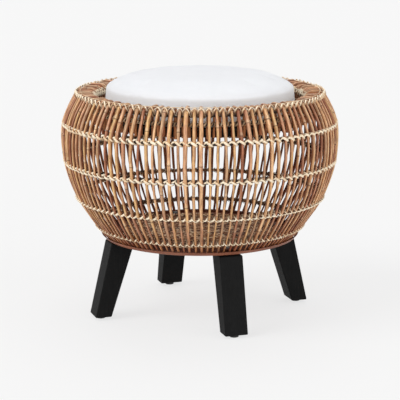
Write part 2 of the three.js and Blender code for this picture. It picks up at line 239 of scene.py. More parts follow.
def grow(piece, tree_name, build, sizes, material):
    """Builds a node tree with named sizes, runs it on a piece and keeps the plain mesh."""
    tree = bpy.data.node_groups.new(tree_name, "GeometryNodeTree")
    tree.interface.new_socket("Geometry", in_out="INPUT", socket_type="NodeSocketGeometry")
    for name, size in sizes.items():
        kind = "NodeSocketInt" if isinstance(size, int) else "NodeSocketFloat"
        tree.interface.new_socket(name, in_out="INPUT", socket_type=kind)
    tree.interface.new_socket("Material", in_out="INPUT", socket_type="NodeSocketMaterial")
    tree.interface.new_socket("Geometry", in_out="OUTPUT", socket_type="NodeSocketGeometry")
    start = tree.nodes.new("NodeGroupInput")
    given = {name: Number(tree, start.outputs[name]) for name in sizes}
    shape = build(tree, start.outputs["Geometry"], given)
    smooth = out(tree, "GeometryNodeSetShadeSmooth", {"Geometry": shape, "Shade Smooth": True})
    whole = out(tree, "GeometryNodeRealizeInstances", {"Geometry": smooth})
    dressing = {"Geometry": whole, "Material": start.outputs["Material"]}
    put(tree, "NodeGroupOutput", {0: out(tree, "GeometryNodeSetMaterial", dressing)})
    modifier = piece.modifiers.new(tree_name, "NODES")
    modifier.node_group = tree
    for item in tree.interface.items_tree:
        if item.in_out == "INPUT" and item.name in sizes:
            modifier[item.identifier] = sizes[item.name]
        if item.name == "Material":
            modifier[item.identifier] = material
    depsgraph = bpy.context.evaluated_depsgraph_get()
    mesh = bpy.data.meshes.new_from_object(
        piece.evaluated_get(depsgraph), preserve_all_data_layers=True, depsgraph=depsgraph
    )
    piece.modifiers.remove(modifier)
    piece.data = mesh
    return piece


def vector(tree, x=0.0, y=0.0, z=0.0):
    return out(tree, "ShaderNodeCombineXYZ", {"X": x, "Y": y, "Z": z})


def separate(tree, place):
    node = put(tree, "ShaderNodeSeparateXYZ", {"Vector": place})
    return [Number(tree, output) for output in node.outputs]


def from_axis(tree, radius, angle, height):
    return vector(tree, angle.math("COSINE") * radius, angle.math("SINE") * radius, height)


def own_place(tree):
    """Where each point of the shape is, at that step of a tree."""
    return out(tree, "GeometryNodeInputPosition")


def away_from(tree, core):
    """The way from a core to each point of the shape."""
    return out(tree, "ShaderNodeVectorMath", {0: own_place(tree), 1: core}, operation="SUBTRACT")


def noise(tree, place, scale=1.0, detail=0.0, roughness=0.5):
    inputs = {"Vector": place, "Scale": scale, "Detail": detail, "Roughness": roughness}
    return Number(tree, out(tree, "ShaderNodeTexNoise", inputs))


def waver(tree, x, y, z):
    """A smooth random value about zero. Odd factors keep sticks and uses apart in the noise."""
    return noise(tree, vector(tree, x, y, z)) - 0.5


def chance(tree, number, seed):
    """An even random share for each stick."""
    return Number(tree, out(tree, "ShaderNodeTexWhiteNoise", {"W": number + seed}, noise_dimensions="1D"))


def between(tree, value, low, high):
    """0 below low and 1 above high, with a smooth rise between them."""
    inputs = {"Value": value, 1: low, 2: high}
    return Number(tree, out(tree, "ShaderNodeMapRange", inputs, interpolation_type="SMOOTHSTEP"))


def store(tree, geometry, name, value, kind="FLOAT"):
    inputs = {"Geometry": geometry, "Name": name, "Value": value}
    return out(tree, "GeometryNodeStoreNamedAttribute", inputs, data_type=kind, domain="POINT")


def sway(tree, stick, height, radius):
    """How far round a cane strays from its even place, less where the canes stand closer."""
    long_bend = waver(tree, stick * 7.31, height * 8.5, 0.5) * 0.006
    lean = waver(tree, stick * 5.17, 9.5, 3.5) * 0.003
    kink = waver(tree, stick * 3.43, height * 38.0, 6.5) * 0.0024
    room = (radius / widest_radius).math("POWER", 2.0)
    return (long_bend + lean + kink) * room / radius


def sweep(tree, curve, sides, thickness, flat=1.0):
    """Runs a round or flat section along curves, and stores the place round the section."""
    circle = out(tree, "GeometryNodeCurvePrimitiveCircle", {"Resolution": sides, "Radius": 1.0})
    marked = store(tree, circle, "round", own_place(tree), "FLOAT_VECTOR")
    pressed = out(tree, "GeometryNodeTransform", {"Geometry": marked, "Scale": (flat, 1.0, 1.0)})
    inputs = {"Curve": curve, "Profile Curve": pressed, "Scale": thickness / 2, "Fill Caps": True}
    return out(tree, "GeometryNodeCurveToMesh", inputs)


def from_knuckle(along, spacing):
    """How far along a stick the nearest knuckle is."""
    return ((along / spacing).math("FRACT") - 0.5) * spacing


# How much the sticks differ: in thickness from one to the next, along each, and at a knuckle.
stick_difference = 0.5
stick_unevenness = 0.3
knuckle_swell = 0.14
knuckle_length = 0.0045


def rattan(tree, line, size):
    """Sticks of rattan side by side round the stool, each along the same line."""
    curve = out(tree, "GeometryNodeMeshToCurve", {"Mesh": line})
    even = out(tree, "GeometryNodeResampleCurve", {"Curve": curve, "Count": size["Points"]})
    stick = Number(tree, out(tree, "GeometryNodeInputIndex"))
    angle = (stick + 0.5) * full_turn / size["Sticks"]
    seeds = out(tree, "GeometryNodePoints", {"Count": size["Sticks"]})
    copies = {"Points": seeds, "Instance": even, "Rotation": vector(tree, 0.0, 0.0, angle)}
    placed = out(tree, "GeometryNodeInstanceOnPoints", copies)
    sticks = out(tree, "GeometryNodeRealizeInstances", {"Geometry": placed})
    number = Number(tree, put(tree, "GeometryNodeCurveOfPoint").outputs["Curve Index"])
    place = own_place(tree)
    x, y, z = separate(tree, place)
    radius = (x * x + y * y).math("SQRT")
    height = z.math("MINIMUM", size["Steady Above"])
    swing = {"Vector": place, "Angle": sway(tree, number, height, radius)}
    swung = out(tree, "ShaderNodeVectorRotate", swing, rotation_type="Z_AXIS")
    bulge = waver(tree, number * 6.1, z * 14.0, 8.5) * size["Uneven Depth"] / radius
    lift = (chance(tree, number, 0.75) - 0.5) * size["Uneven Height"]
    shift = {"Geometry": sticks, "Position": swung, "Offset": vector(tree, x * bulge, y * bulge, lift)}
    leaning = out(tree, "GeometryNodeSetPosition", shift)
    length = Number(tree, put(tree, "GeometryNodeSplineParameter").outputs["Length"])
    own = noise(tree, vector(tree, number * 3.77, 4.5, 1.5))
    along = length * (own * 0.6 + 0.7) + number * 3.7
    nearness = (from_knuckle(along, size["Knuckle Spacing"]) / knuckle_length).math("POWER", 2.0)
    swell = nearness.math("MULTIPLY", -1.0).math("EXPONENT")
    spread = chance(tree, number, 0.25) - 0.5
    thickness = size["Thickness"] * (spread * stick_difference + 1.0)
    thickness = thickness * (waver(tree, along * 26.0, number * 1.9, 7.5) * stick_unevenness + 1.0)
    thin_end = between(tree, z, 0.14, 0.43) * size["Foot Taper"] - size["Foot Taper"] + 1.0
    thickness = thickness * (swell * knuckle_swell + 1.0) * thin_end
    known = store(tree, leaning, "along", along)
    known = store(tree, known, "tone", chance(tree, number, 0.5))
    solid = sweep(tree, known, size["Sides"], thickness)
    x, y, z = separate(tree, own_place(tree))
    core = from_axis(tree, size["Core Radius"], y.math("ARCTAN2", x), size["Core Height"])
    away = out(tree, "ShaderNodeVectorMath", {0: away_from(tree, core)}, operation="NORMALIZE")
    both_ways = {0: away, 1: out(tree, "GeometryNodeInputNormal")}
    facing = put(tree, "ShaderNodeVectorMath", both_ways, operation="DOT_PRODUCT").outputs["Value"]
    return store(tree, solid, "facing", Number(tree, facing))


def attribute(tree, name):
    """A value that a tree has stored on a piece, for its material."""
    return Number(tree, put(tree, "ShaderNodeAttribute", attribute_name=name).outputs["Fac"])


def on_piece(tree):
    """The place on the piece, for its material."""
    return put(tree, "ShaderNodeTexCoord").outputs["Object"]


def streaks_along(tree, across, lengthways, detail=3.0, roughness=0.5):
    """Streaks along a swept piece: how fine they are across its section and lengthways."""
    section = put(tree, "ShaderNodeAttribute", attribute_name="round").outputs["Vector"]
    x, y, _ = separate(tree, section)
    place = vector(tree, x * across, y * across, attribute(tree, "along") * lengthways)
    return noise(tree, place, detail=detail, roughness=roughness)


def ramp(tree, value, stops):
    """Colours that follow one another as a value grows."""
    node = put(tree, "ShaderNodeValToRGB", {"Fac": value})
    while len(node.color_ramp.elements) < len(stops):
        node.color_ramp.elements.new(1)
    for element, (position, colour) in zip(node.color_ramp.elements, stops):
        element.position = position
        element.color = (*colour, 1)
    return node.outputs[0]


def tint(tree, share, under, over, kind="MIX"):
    inputs = {0: share, 6: under, 7: over}
    return put(tree, "ShaderNodeMix", inputs, data_type="RGBA", blend_type=kind).outputs[2]


# Multiplies a colour by another: used for real streaks, and also for painted shade and painted light.
def multiplied(tree, colour, multiplier):
    return tint(tree, 1.0, colour, multiplier, "MULTIPLY")


def finish_named(name, roughness=0.6, gloss=0.5):
    """A new material: its tree, and the shader to fill in."""
    material = bpy.data.materials.new(name)
    material.use_nodes = True
    shader = material.node_tree.nodes["Principled BSDF"]
    shader.inputs["Roughness"].default_value = roughness
    shader.inputs["Specular IOR Level"].default_value = gloss
    return material, material.node_tree, shader


def bump(tree, shader, height, distance, strength=1.0):
    inputs = {"Height": height, "Distance": distance, "Strength": strength}
    fill(tree, shader.inputs["Normal"], out(tree, "ShaderNodeBump", inputs))


knuckle_spacing = 0.17
worn_skin = [(0.34, (0.5, 0.38, 0.28)), (0.5, (0.96, 0.92, 0.87)), (0.66, (1.4, 1.36, 1.28))]
scar_tan = (0.78, 0.62, 0.42, 1)
ring_brown = (0.09, 0.045, 0.02, 1)
fleck_brown = (0.11, 0.05, 0.022, 1)
foot_darkening = (0.6, 0.4, 0.3, 1)


def rattan_finish(name, tones, painted_shade_share, inside):
    """Skin-on rattan: each stick its own brown, streaked along, ringed at the knuckles, its flanks
    darkened as painted shade and its inner face multiplied as painted light.
    """
    material, tree, shader = finish_named(name, 0.45, 0.4)
    streaks = streaks_along(tree, 2.6, 55.0, roughness=0.6)
    blotches = streaks_along(tree, 0.6, 20.0, detail=2.0)
    flecks = streaks_along(tree, 3.0, 200.0, detail=1.0)
    colour = ramp(tree, attribute(tree, "tone") + (blotches - 0.5) * 0.9, tones)
    colour = multiplied(tree, colour, ramp(tree, streaks, worn_skin))
    knuckle = from_knuckle(attribute(tree, "along"), knuckle_spacing)
    ring = between(tree, knuckle.math("ABSOLUTE"), 0.0004, 0.0012)
    scar = between(tree, (knuckle - 0.0035).math("ABSOLUTE"), 0.0012, 0.0035)
    colour = tint(tree, (scar * -1.0 + 1.0) * 0.3, colour, scar_tan)
    colour = tint(tree, (ring * -1.0 + 1.0) * 0.7, colour, ring_brown)
    colour = tint(tree, between(tree, flecks, 0.66, 0.74) * 0.6, colour, fleck_brown)
    inwards = attribute(tree, "facing") * -1.0
    # The flanks of each stick are darkened: painted shade between the sticks.
    painted_flank_shade = multiplied(tree, colour, (painted_shade_share, painted_shade_share * 0.76, painted_shade_share * 0.62, 1))
    colour = tint(tree, between(tree, inwards, -0.93, -0.4), colour, painted_flank_shade)
    # Faces turned towards the core are multiplied by inside: painted shade where it darkens them, painted
    # light where it lightens them.
    colour = tint(tree, between(tree, inwards, -0.45, 0.2), colour, multiplied(tree, colour, (*inside, 1)))
    # The canes are multiplied darker and redder towards their foot.
    above_foot = between(tree, separate(tree, on_piece(tree))[2], 0.15, 0.215)
    colour = tint(tree, above_foot, multiplied(tree, colour, foot_darkening), colour)
    fill(tree, shader.inputs["Base Color"], colour)
    bump(tree, shader, streaks + ring * 0.6, 0.0005)
    return material


pale_tan = (0.83, 0.55, 0.318)
golden = (0.71, 0.465, 0.209)
tan = (0.66, 0.39, 0.2)
greyish = (0.52, 0.34, 0.204)
pinkish = (0.58, 0.30, 0.176)
reddish = (0.36, 0.14, 0.07)
wall_tones = [
    (0.0, reddish),
    (0.15, pinkish),
    (0.32, greyish),
    (0.48, tan),
    (0.64, golden),
    (0.78, pinkish),
    (0.9, pale_tan),
    (1.0, tan),
]
heights = [point.y for point in wall_line if point.y < wall_cane_top] + [wall_cane_top]
wall_canes = grow(
    guide("wall_rattan", [wall_middle(height) for height in heights]),
    "wall_canes",
    rattan,
    {
        "Sticks": cane_count,
        "Points": 52,
        "Sides": 8,
        "Thickness": cane_thickness + wall_cane_extra,
        "Knuckle Spacing": knuckle_spacing,
        "Foot Taper": 0.32,
        "Uneven Depth": 0.002,
        "Uneven Height": 0.0,
        "Steady Above": 1.0,
        "Core Radius": 0.12,
        "Core Height": 0.3,
    },
    # The wall canes' inner faces are painted darker and redder: painted shade.
    rattan_finish("wall_rattan", wall_tones, painted_shade_share=0.56, inside=(0.85, 0.61, 0.46)),
)
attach(wall_canes, "basket")
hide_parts(*[f"wall_canes_{number:02d}" for number in range(1, 15)])

# The shoulder canes lie level from the rim inwards, turn down over the edge of the well and line it as
# far as the seat board. They are the same rattan, with the faces that look into the hollow under the
# shoulder painted lighter and redder: painted light.
rim_radius, rim_height = wall_rows[-1]
shoulder_middle = rim_height - 0.0033
steady_height = rim_height - 0.007
nose_set_in = 0.0035
nose_radius = 0.006
well_middle = 0.2000
well_cane_end = 0.3673
bend_radius = 0.009


def arc(middle, radius, first, last, steps=5):
    """Points of an arc from one angle to another, in degrees up from outwards."""
    turns = [radians(first + (last - first) * step / steps) for step in range(steps + 1)]
    return [Vector((middle[0] + radius * cos(t), middle[1] + radius * sin(t))) for t in turns]


nose_middle = (rim_radius - nose_set_in - nose_radius, shoulder_middle - nose_radius)
fold_middle = (well_middle + bend_radius, shoulder_middle - bend_radius)
shoulder_line = [
    *arc(nose_middle, nose_radius, 0, 90),
    *arc(fold_middle, bend_radius, 90, 180),
    Vector((well_middle, well_cane_end)),
]
shoulder_tones = [
    (0.0, reddish),
    (0.2, greyish),
    (0.45, pinkish),
    (0.65, tan),
    (0.8, greyish),
    (1.0, pinkish),
]
shoulder_canes = grow(
    guide("shoulder_rattan", shoulder_line),
    "shoulder_canes",
    rattan,
    {
        "Sticks": cane_count,
        "Points": 34,
        "Sides": 8,
        "Thickness": cane_thickness,
        "Knuckle Spacing": knuckle_spacing,
        "Foot Taper": 0.0,
        "Uneven Depth": 0.0,
        "Uneven Height": 0.0042,
        "Steady Above": steady_height,
        "Core Radius": 0.217,
        "Core Height": 0.38,
    },
    # The shoulder canes' faces towards the hollow under the shoulder are multiplied lighter and redder:
    # painted light.
    rattan_finish("shoulder_rattan", shoulder_tones, painted_shade_share=0.4, inside=(2.1, 1.85, 1.6)),
)
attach(shoulder_canes, "basket")
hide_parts(*[f"shoulder_canes_{number:02d}" for number in range(1, 15)])

# The hoops are thick dark canes bent into rings: one behind the wall at each lashed row, one
# under the rim, and two behind the canes of the well.
hoop_thickness = 0.008
thin_hoop = 0.0062
thin_hoop_drop = 0.0018
hoop_clearance = 0.0003


def out_of_true(tree, x, y, height):
    """How far a bent hoop rises or falls from its even height, in metres."""
    return waver(tree, x * 12.0, y * 12.0, height * 40.0) * 0.0026


def hoop(tree, start, size):
    """One ring of thick cane, a little out of true."""
    ring = {"Resolution": size["Points"], "Radius": size["Radius"]}
    circle = out(tree, "GeometryNodeCurvePrimitiveCircle", ring)
    place = own_place(tree)
    x, y, _ = separate(tree, place)
    lifted = vector(tree, 0.0, 0.0, size["Height"] + out_of_true(tree, x, y, size["Height"]))
    raised = out(tree, "GeometryNodeSetPosition", {"Geometry": circle, "Offset": lifted})
    length = Number(tree, put(tree, "GeometryNodeSplineParameter").outputs["Length"])
    known = store(tree, raised, "along", length + size["Height"] * 31.0)
    known = store(tree, known, "tone", noise(tree, place, 14.0))
    thickness = size["Thickness"] * (waver(tree, x * 25.0, y * 25.0, size["Height"]) * 0.24 + 1.0)
    return sweep(tree, known, size["Sides"], thickness)


def hoop_finish(name, tones):
    material, tree, shader = finish_named(name, 0.55)
    streaks = streaks_along(tree, 2.6, 40.0)
    fill(tree, shader.inputs["Base Color"], ramp(tree, streaks, tones))
    bump(tree, shader, streaks, 0.0004)
    return material


def behind_canes(height, thickness):
    """The middle of a hoop that lies against the inside of the wall's canes."""
    return wall_middle(height, cane_thickness + thickness / 2 + hoop_clearance)


# Rows 2 and 3 and the well's hoops take a near-black copy of the hoop cane, for the shade they sit in
# inside the wall: painted shade.
shade_dark_tones = [(0.3, (0.015, 0.006, 0.004)), (0.55, (0.04, 0.018, 0.01)), (0.8, (0.11, 0.05, 0.025))]
brown_tones = [(0.3, (0.09, 0.036, 0.018)), (0.55, (0.22, 0.105, 0.056)), (0.8, (0.42, 0.24, 0.14))]
shade_dark_cane = hoop_finish("hoop_cane", shade_dark_tones)
brown_cane = hoop_finish("rim_hoop_cane", brown_tones)
row_heights = {"row_5": 0.1728, "row_4": 0.2264, "row_3": 0.2963, "row_2": 0.3683}
row_5, row_4, row_3, row_2 = row_heights.values()
hoops = {
    "hoop_row_5": (behind_canes(row_5 - thin_hoop_drop, thin_hoop), thin_hoop, brown_cane),
    "hoop_row_4": (behind_canes(row_4 - thin_hoop_drop, thin_hoop), thin_hoop, brown_cane),
    "hoop_row_3": (behind_canes(row_3, hoop_thickness), hoop_thickness, shade_dark_cane),
    "hoop_row_2": (behind_canes(row_2, hoop_thickness), hoop_thickness, shade_dark_cane),
    "rim_hoop": (Vector((0.2256, 0.4166)), 0.0052, brown_cane),
    "well_edge_hoop": (Vector((0.2074, 0.4098)), 0.0066, shade_dark_cane),
    "well_lower_hoop": (Vector((0.2078, 0.3938)), thin_hoop, shade_dark_cane),
}
for node, ((radius, height), thickness, finish) in hoops.items():
    ring = grow(
        guide(node + "_cane", [(radius, height), (radius, height + 0.001)]),
        node + "_cane",
        hoop,
        {"Points": 96, "Sides": 10, "Radius": radius, "Height": height, "Thickness": thickness},
        finish,
    )
    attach(ring, "basket")
    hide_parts(node)

# Split peel binds the canes to the hoops. It passes slantwise over each cane and goes back
# behind the hoop in the gap, and a second strand is coiled round the hoop from gap to gap.
peel_width = 0.003
peel_flatness = 0.36
peel_clearance = 0.0006
peel_drift = 0.003


def even_turns(tree, size):
    """A line of even points, how many canes round each one is, and the angle of one cane."""
    line = out(tree, "GeometryNodeCurvePrimitiveLine", {"End": (1.0, 0.0, 0.0)})
    count = size["Sticks"] * size["Points per Stick"] + 1.0
    even = out(tree, "GeometryNodeResampleCurve", {"Curve": line, "Count": count})
    share = Number(tree, put(tree, "GeometryNodeSplineParameter").outputs["Factor"])
    pitch = size["Sticks"].math("POWER", -1.0) * full_turn
    return even, share * size["Sticks"], pitch


def off_row(size, level, outwards, upwards):
    """The radius and height of a place outwards and upwards of a row on its wall."""
    facing_out = size["Row Lean"].math("COSINE")
    facing_up = size["Row Lean"].math("SINE")
    radius = size["Row Radius"] + outwards * facing_out - upwards * facing_up
    return radius, level + outwards * facing_up + upwards * facing_out


def laid_peel(tree, line, place, core, turns, hidden, size):
    """Lays a strand flat round its core, uneven in tone, and browner where it passes behind, as painted
    shade.
    """
    wound = out(tree, "GeometryNodeSetPosition", {"Geometry": line, "Position": place})
    away = away_from(tree, core)
    known = store(tree, wound, "along", turns * 0.02 + size["Seed"])
    shade = noise(tree, vector(tree, turns * 0.7, size["Seed"] * 5.3, 7.5), detail=1.0)
    # Where the strand passes behind the hoop its tone is lowered: painted shade of that recess.
    shade = shade + size["Paleness"] - hidden * size["Painted Shade Behind"]
    faced = {"Curve": store(tree, known, "tone", shade), "Normal": away}
    laid = out(tree, "GeometryNodeSetCurveNormal", faced, mode="FREE")
    width = size["Width"] * (waver(tree, turns * 0.8, size["Seed"], 9.5) * 0.8 + 1.0)
    return sweep(tree, laid, size["Sides"], width, peel_flatness)


def binding(tree, start, size):
    """One strand of peel wound round every cane and the hoop behind it."""
    line, turns, pitch = even_turns(tree, size)
    stick = (turns + 0.0001).math("FLOOR")
    part = (turns - stick) * 2.0
    behind = part.math("GREATER_THAN", 0.9999)
    infront = behind * -1.0 + 1.0
    over = (part.math("MINIMUM", 1.0) - 0.5) * pi
    under = (part - 1.0).math("MAXIMUM", 0.0)
    edge = size["Reach"] * full_turn / size["Sticks"]

    def middle_of(number):
        known = number.math("MODULO", size["Sticks"])
        stray = sway(tree, known, size["Sway Height"], size["Row Radius"])
        return (number + 0.5) * full_turn / size["Sticks"] + stray

    here = middle_of(stick)
    there = middle_of(stick + 1.0)
    left = here + edge
    swing = under * pi
    twist = (swing * 2.0).math("SINE") * behind
    angle_over = here + over.math("SINE") * edge
    angle_under = left + (there - edge - left) * under + twist * size["Back Lean"] * pitch
    angle = angle_over * infront + angle_under * behind
    back = swing.math("SINE").math("MAXIMUM", 0.0).math("POWER", 0.7)
    reach = size["Cane Thickness"] / 2 + peel_clearance
    outwards = over.math("COSINE") * reach * infront - back * size["Depth"] * behind
    grip = waver(tree, turns * 0.83, size["Seed"] * 7.7, 0.5) * 0.9 + 1.0
    rise = size["Slant"] * grip * (over.math("SINE") * infront + swing.math("COSINE") * behind)
    round_peak = over.math("COSINE")
    sharp_peak = over.math("SINE").math("ABSOLUTE") * -1.0 + 1.0
    shaped = round_peak + (sharp_peak - round_peak) * size["Sharpness"]
    peak = size["Peak"] * grip * shaped * infront
    dip = size["Dip"] * swing.math("SINE") * behind + twist * size["Back Rise"]
    drift = waver(tree, turns * 0.31, size["Seed"] * 3.3, 4.5) * peel_drift
    upwards = rise + peak + dip + size["Offset"] + drift
    radius, height = off_row(size, size["Row Height"], outwards, upwards)
    core_angle = here * infront + (here + (there - here) * under) * behind
    core_depth = size["Depth"] * 0.32
    core_radius = size["Row Radius"] - core_depth * size["Row Lean"].math("COSINE")
    core_height = size["Row Height"] - core_depth * size["Row Lean"].math("SINE")
    core = from_axis(tree, core_radius, core_angle, core_height)
    place = from_axis(tree, radius, angle, height)
    return laid_peel(tree, line, place, core, turns, back * behind, size)


def coiled(tree, start, size):
    """A strand of peel coiled round a hoop, one turn from each gap to the next."""
    line, turns, pitch = even_turns(tree, size)
    swing = turns * full_turn
    loose = waver(tree, turns * 1.3, size["Seed"], 2.5) * 0.5
    angle = (turns + swing.math("SINE") * size["Reach"] + loose * 0.35) * pitch
    reach = size["Coil Radius"] * (loose * 0.12 + 1.0)
    front = swing.math("COSINE").math("MAXIMUM", 0.0)
    hidden = (swing.math("COSINE") * -1.0).math("MAXIMUM", 0.0).math("POWER", 0.5)
    outwards = swing.math("COSINE") * reach + front * front * size["Bulge"]
    flatter = front * -0.5 + 1.0
    upwards = swing.math("SINE") * reach * flatter + front * size["Lift"] + size["Offset"]
    x = angle.math("COSINE") * size["Row Radius"]
    y = angle.math("SINE") * size["Row Radius"]
    level = size["Row Height"] + out_of_true(tree, x, y, size["Row Height"])
    radius, height = off_row(size, level, outwards, upwards)
    place = from_axis(tree, radius, angle, height)
    return laid_peel(tree, line, place, vector(tree, x, y, level), turns, hidden, size)


peel_tones = [
    (0.05, (0.10, 0.05, 0.025)),
    (0.2, (0.40, 0.23, 0.115)),
    (0.35, (0.66, 0.44, 0.25)),
    (0.5, (0.86, 0.67, 0.45)),
    (0.7, (0.95, 0.83, 0.64)),
]
peel_streaks = [(0.3, (0.8, 0.76, 0.7)), (0.6, (1.06, 1.06, 1.06))]


def peel_finish():
    material, tree, shader = finish_named("split_peel", 0.45)
    streaks = streaks_along(tree, 2.0, 60.0)
    colour = ramp(tree, attribute(tree, "tone"), peel_tones)
    fill(tree, shader.inputs["Base Color"], multiplied(tree, colour, ramp(tree, streaks, peel_streaks)))
    bump(tree, shader, streaks, 0.0002)
    return material


peel = peel_finish()
usual_strand = {
    "Sticks": cane_count,
    "Points per Stick": 14,
    "Sides": 6,
    "Cane Thickness": cane_thickness,
    "Width": peel_width,
    "Reach": 0.43,
    "Slant": 0.0,
    "Peak": 0.0,
    "Sharpness": 0.35,
    "Dip": 0.0,
    "Offset": 0.0,
    "Back Lean": 0.0,
    "Back Rise": 0.0,
    "Lift": 0.0012,
    "Paleness": 0.0,
    "Painted Shade Behind": 0.6,
}


def lash(node, middle, lean, strands, sway_height=None, depth=0.0124, around=None, joined=()):
    """Winds the strands of one row and joins them into one piece."""
    radius, height = middle
    shapes = []
    for number, strand in enumerate(strands):
        winding, (core_radius, core_height) = binding, middle
        if "Coil Radius" in strand:
            winding, (core_radius, core_height) = coiled, around
        sizes = {
            **usual_strand,
            "Row Radius": core_radius,
            "Row Height": core_height,
            "Row Lean": lean,
            "Sway Height": sway_height or height,
            "Depth": depth,
            "Seed": height * 10 + number,
            **strand,
        }
        name = f"{node}_peel_{number + 1}"
        line = guide(name, [(radius, height), (radius, height + 0.001)])
        shapes.append(grow(line, name, winding, sizes, peel))
    shapes += joined
    with bpy.context.temp_override(active_object=shapes[0], selected_editable_objects=shapes):
        bpy.ops.object.join()
    piece = shapes[0]
    piece.name = node + "_peel"
    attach(piece, "basket")
    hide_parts(node)


around_hoop = {"Coil Radius": 0.0046, "Reach": 0.13, "Bulge": 0.005}
slantwise = {"Slant": -0.0031, "Reach": 0.35, "Back Lean": 0.15, "Back Rise": -0.0012}
low_slant = {**slantwise, "Offset": -0.0022, "Paleness": 0.04}
crossing = [
    {**slantwise, "Width": 0.0044, "Offset": -0.0008, "Paleness": 0.12},
    {**around_hoop, "Lift": 0.0022, "Width": 0.0032, "Paleness": 0.22},
]
slanting = [
    {**low_slant, "Width": 0.0023},
    {
        "Coil Radius": 0.0044,
        "Reach": 0.2,
        "Bulge": 0.0065,
        "Offset": 0.0002,
        "Width": 0.0034,
        "Paleness": 0.26,
    },
]
fine = [
    {**low_slant, "Width": 0.0022},
    {**around_hoop, "Coil Radius": 0.0042, "Lift": 0.0006, "Width": 0.0026, "Paleness": 0.15},
]
patterns = {"row_2": crossing, "row_3": crossing, "row_4": slanting, "row_5": fine}
for row, height in row_heights.items():
    point, facing = wall_at(height)
    lean = atan2(facing.y, facing.x)
    hoop_middle = hoops["hoop_" + row][0]
    lash("lashing_" + row, point - facing * cane_set_in, lean, patterns[row], around=hoop_middle)

roofs = [
    {
        "Slant": -0.0006,
        "Peak": 0.0068,
        "Dip": -0.001,
        "Sharpness": 0.8,
        "Width": 0.0026,
        "Painted Shade Behind": 0.2,
        "Paleness": 0.2,
    },
    {
        "Slant": 0.0006,
        "Peak": 0.0048,
        "Offset": -0.0008,
        "Sharpness": 0.6,
        "Width": 0.002,
        "Painted Shade Behind": 0.1,
        "Paleness": -0.2,
    },
]
edge_radius, edge_height = 0.2248, 0.4262
edge_strand = grow(
    guide("rim_edge_strand", [(edge_radius, edge_height), (edge_radius, edge_height + 0.001)]),
    "rim_edge_strand",
    hoop,
    {"Points": 160, "Sides": 6, "Radius": edge_radius, "Height": edge_height, "Thickness": 0.0013},
    peel,
)
roof_middle = (0.2339, 0.4203)
lash("rim_lashing", roof_middle, radians(45), roofs, steady_height, 0.0095, joined=[edge_strand])
well_turns = [
    {"Slant": 0.0038, "Back Lean": -0.15, "Back Rise": 0.001, "Painted Shade Behind": 0.1, "Paleness": -0.08},
    {"Coil Radius": 0.0038, "Reach": 0.1, "Bulge": 0.003, "Painted Shade Behind": 0.0, "Paleness": -0.16},
]
well_hoop_middle = hoops["well_lower_hoop"][0]
lash("well_lashing", (well_middle, 0.3944), pi, well_turns, steady_height, around=well_hoop_middle)
edge_turns = [
    {"Slant": 0.0052, "Offset": 0.0012, "Width": 0.0034, "Paleness": 0.25},
    {"Slant": -0.0048, "Offset": -0.0012, "Width": 0.0032, "Paleness": 0.1},
    {"Slant": 0.0044, "Offset": -0.0024, "Width": 0.003, "Paleness": 0.25},
]
lash("well_edge_lashing", (0.2001, 0.4132), radians(160), edge_turns, steady_height, 0.0116)


# The foot of the wall: a wedge-shaped hoop inside the canes, to which they are nailed, and a
# thin bent strip of reddish wood that covers the nails outside.
def turned(name, outline, steps, material):
    """A ring or a disc turned round the stool's axis from a closed outline of (radius, height)."""
    count = len(outline)
    points = []
    for step in range(steps):
        turn = full_turn * step / steps
        points += [(r * cos(turn), r * sin(turn), z) for r, z in outline]
    faces = []
    for step in range(steps):
        here, there = step * count, (step + 1) % steps * count
        for n in range(count):
            m = (n + 1) % count
            faces.append((here + n, there + n, there + m, here + m))
    piece = mesh_piece(name, points, faces, material)
    tidy(piece.data)
    return piece


def tidy(mesh, smooth=True):
    """Closes poles and seams, turns every face outwards and shades the mesh smooth."""
    shape = bmesh.new()
    shape.from_mesh(mesh)
    bmesh.ops.remove_doubles(shape, verts=shape.verts, dist=0.00001)
    bmesh.ops.dissolve_degenerate(shape, edges=shape.edges, dist=0.000001)
    bmesh.ops.recalc_face_normals(shape, faces=shape.faces)
    for face in shape.faces:
        face.smooth = smooth
    shape.to_mesh(mesh)
    shape.free()


def eased(outline, ease, steps=3):
    """A closed outline with each of its corners rounded, but for those on the axis."""
    rounded = []
    for n, corner in enumerate(outline):
        corner = Vector(corner)
        if corner.x == 0:
            rounded.append(corner)
            continue
        before, after = Vector(outline[n - 1]), Vector(outline[(n + 1) % len(outline)])
        first = corner + (before - corner).normalized() * ease
        last = corner + (after - corner).normalized() * ease
        for step in range(steps + 1):
            t = step / steps
            rounded.append(first * (1 - t) ** 2 + corner * 2 * t * (1 - t) + last * t**2)
    return rounded


def bent_wood(name, tones, roughness):
    """Wood with its grain running level round the stool."""
    material, tree, shader = finish_named(name, roughness, 0.15)
    place = on_piece(tree)
    x, y, z = separate(tree, place)
    lines = noise(tree, vector(tree, x * 6.0, y * 6.0, z * 900.0), detail=3.0, roughness=0.6)
    patches = noise(tree, place, 16.0, 2.0)
    fill(tree, shader.inputs["Base Color"], ramp(tree, lines * 0.6 + patches * 0.4, tones))
    bump(tree, shader, lines, 0.0003)
    return material


def refinish(name, material):
    """Gives one of the stool's plain solids a finer finish."""
    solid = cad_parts[name]
    solid.data.materials.clear()
    solid.data.materials.append(material)


